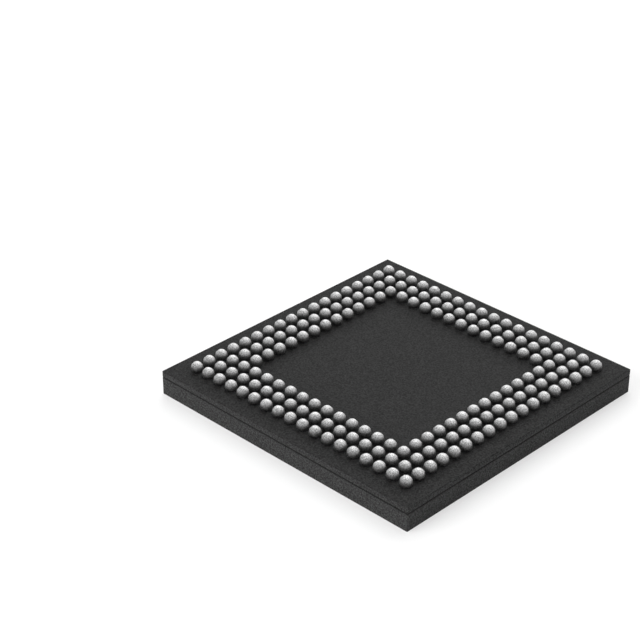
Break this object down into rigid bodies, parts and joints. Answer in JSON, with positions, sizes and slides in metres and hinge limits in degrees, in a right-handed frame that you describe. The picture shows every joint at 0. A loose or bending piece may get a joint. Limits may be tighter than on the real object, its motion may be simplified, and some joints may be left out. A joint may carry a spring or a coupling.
{
  "type": "microcontroller",
  "caption": "Square thin moulded microcontroller package with a perimeter grid of solder balls in three rings, lying on its moulded face with the balls up.",
  "frame": {"origin": "centre of the flat moulded face that the package lies on", "axes": "+Z from the moulded face up through the solder balls; X and Y along the sides of the ball grid"},
  "size_m": [0.01, 0.01, 0.0011],
  "materials": {
    "mould_compound": "matte",
    "solder_mask": "matte",
    "laminate": "matte",
    "silicon": "polished",
    "adhesive_film": "matte",
    "bond_wire_gold": "polished",
    "solder": "satin"
  },
  "bodies": {
    "root": {"mould_cap": "mould_compound", "die_side_solder_mask": "solder_mask", "ball_side_solder_mask": "solder_mask", "substrate_core": "laminate", "silicon_die": "silicon", "die_attach_film": "adhesive_film", "bond_wires_front": "bond_wire_gold", "bond_wires_right": "bond_wire_gold", "bond_wires_back": "bond_wire_gold", "bond_wires_left": "bond_wire_gold", "outer_ring_balls": "solder", "middle_ring_balls": "solder", "inner_ring_balls": "solder"}
  },
  "joints": []
}
